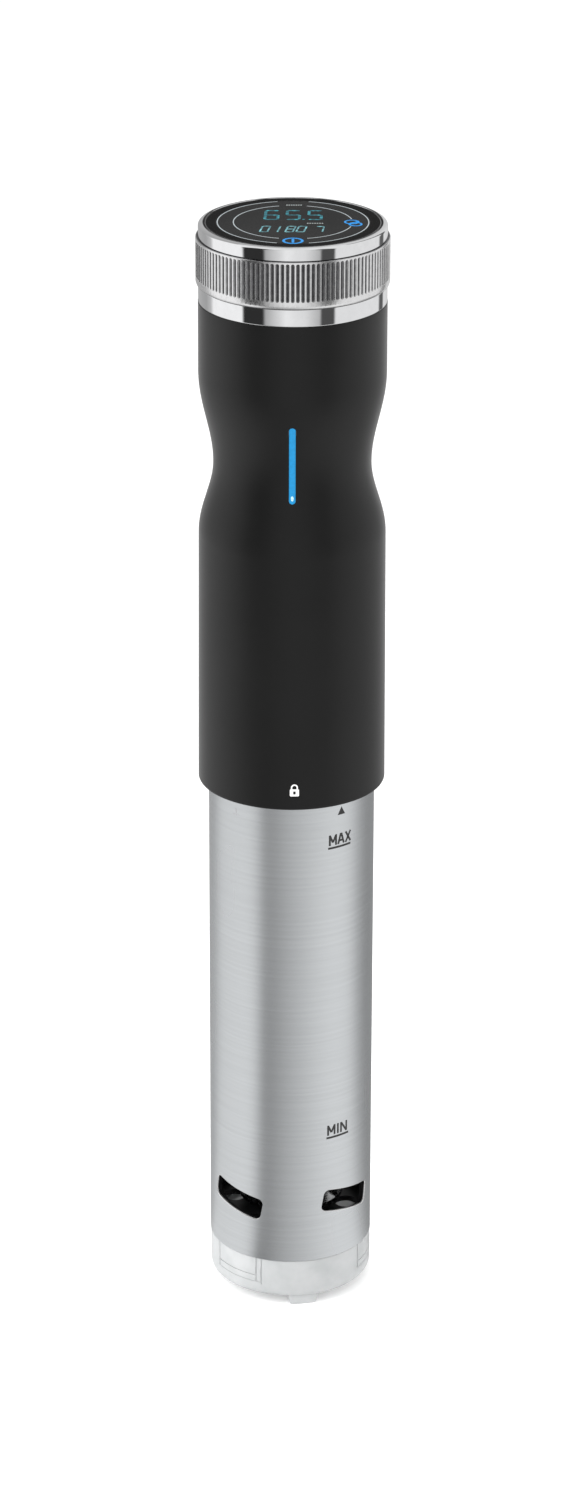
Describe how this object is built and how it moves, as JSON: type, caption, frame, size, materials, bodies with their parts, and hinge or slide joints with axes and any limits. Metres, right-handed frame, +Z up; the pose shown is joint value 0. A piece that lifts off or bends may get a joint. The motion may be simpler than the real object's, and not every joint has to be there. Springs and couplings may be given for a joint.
{
  "type": "sous vide circulator",
  "caption": "Stick circulator for water baths: touch display and turning dial on a waisted body, twist-off steel pump tube, clear foot cap and a rear pot clamp.",
  "frame": {"origin": "on the steel tube's axis, in the plane that the three feet stand on", "axes": "+Z up along the tube, -Y towards the front with the light bar, +Y towards the pot clamp and the cord entry, +X to the right"},
  "size_m": [0.0644, 0.0904, 0.3891],
  "materials": {
    "black_shell": "soft-touch black",
    "black_plastic": "fine moulded grain",
    "light_blue": "lit light guide",
    "board_green": "solder mask",
    "capacitor_sleeve": "shrink sleeve",
    "relay_blue": "moulded",
    "transformer_tape": "tape over winding",
    "aluminium": "milled",
    "motor_grey": "zinc plated",
    "magnet_grey": "sintered",
    "bronze": "sintered bronze",
    "copper_winding": "enamelled wire",
    "steel_brushed": "brushed round the tube",
    "steel_plain": "bright",
    "heater_steel": "annealed",
    "chrome": "polished",
    "black_rubber": "moulded",
    "white_plastic": "self-lubricating",
    "frosted_cap": "frosted translucent plastic",
    "lens_black": "glossy black"
  },
  "bodies": {
    "housing": {"front_shell": "black_shell", "rear_shell": "black_shell", "shell_screws": "steel_plain", "light_guide": "light_blue", "light_board": "board_green", "main_board": "board_green", "board_capacitor": "capacitor_sleeve", "power_relay": "relay_blue", "board_transformer": "transformer_tape", "heat_sink": "aluminium", "motor_mount": "black_rubber", "motor_can": "motor_grey", "motor_magnets": "magnet_grey", "motor_bearings": "bronze", "base_plate": "black_plastic", "bayonet_ring": "steel_plain", "base_screws": "steel_plain", "seal_ring": "black_rubber", "heater_flange": "steel_plain", "heater_coil": "heater_steel", "temperature_probe": "steel_plain", "level_probes": "steel_plain", "shaft_bush": "bronze", "shaft_seal": "black_rubber", "cord_gland": "black_rubber", "lower_band": "chrome", "head_frame": "black_plastic", "head_screws": "steel_plain", "dial_washer": "black_plastic", "lens_bezel": "chrome", "display_lens": "lens_black", "display_board": "board_green", "digit_module": "black_plastic", "touch_springs": "bronze", "encoder_body": "black_plastic", "clamp_bracket": "black_plastic", "bracket_screws": "steel_plain", "clamp_pin": "steel_plain", "clamp_spring": "steel_plain"},
    "dial": {"dial_ring": "chrome", "dial_gear": "black_plastic"},
    "pinion": {"encoder_pinion": "white_plastic"},
    "rotor": {"motor_armature": "copper_winding", "shaft_coupling": "aluminium", "drive_shaft": "steel_plain", "pump_impeller": "steel_plain", "impeller_nut": "steel_plain"},
    "twist_lock": {"lock_ring": "white_plastic"},
    "tube": {"tube_sleeve": "steel_brushed", "tube_collar": "black_plastic", "collar_pins": "steel_plain", "pump_liner": "black_plastic", "cap_clips": "steel_plain"},
    "cap": {"foot_cap": "frosted_cap"},
    "clamp": {"clamp_lever": "black_plastic", "clamp_pad": "black_rubber"}
  },
  "joints": [
    {"name": "dial_turn", "type": "hinge", "parent": "housing", "child": "dial", "pos_m": [0, 0, 0.3768], "axis": [0, 0, 1], "continuous": true},
    {"name": "pinion_turn", "type": "hinge", "parent": "housing", "child": "pinion", "pos_m": [0, 0.0216, 0.3726], "axis": [0, 0, 1], "continuous": true},
    {"name": "rotor_spin", "type": "hinge", "parent": "housing", "child": "rotor", "pos_m": [0, 0, 0.2], "axis": [0, 0, 1], "continuous": true},
    {"name": "tube_twist", "type": "hinge", "parent": "housing", "child": "twist_lock", "pos_m": [0, 0, 0.212], "axis": [0, 0, -1], "range_deg": [0, 36.7]},
    {"name": "tube_pull", "type": "slide", "parent": "twist_lock", "child": "tube", "axis": [0, 0, -1], "range_m": [0, 0.19]},
    {"name": "cap_pull", "type": "slide", "parent": "tube", "child": "cap", "axis": [0, 0, -1], "range_m": [0, 0.03]},
    {"name": "clamp_open", "type": "hinge", "parent": "housing", "child": "clamp", "pos_m": [0, 0.043, 0.2345], "axis": [1, 0, 0], "range_deg": [0, 25], "stiffness_Nm_per_rad": 1.2, "springref_deg": -20.05, "deforming": ["clamp_spring"]}
  ],
  "couplings": [
    {"joint": "pinion_turn", "follows": "dial_turn", "ratio": 5}
  ]
}
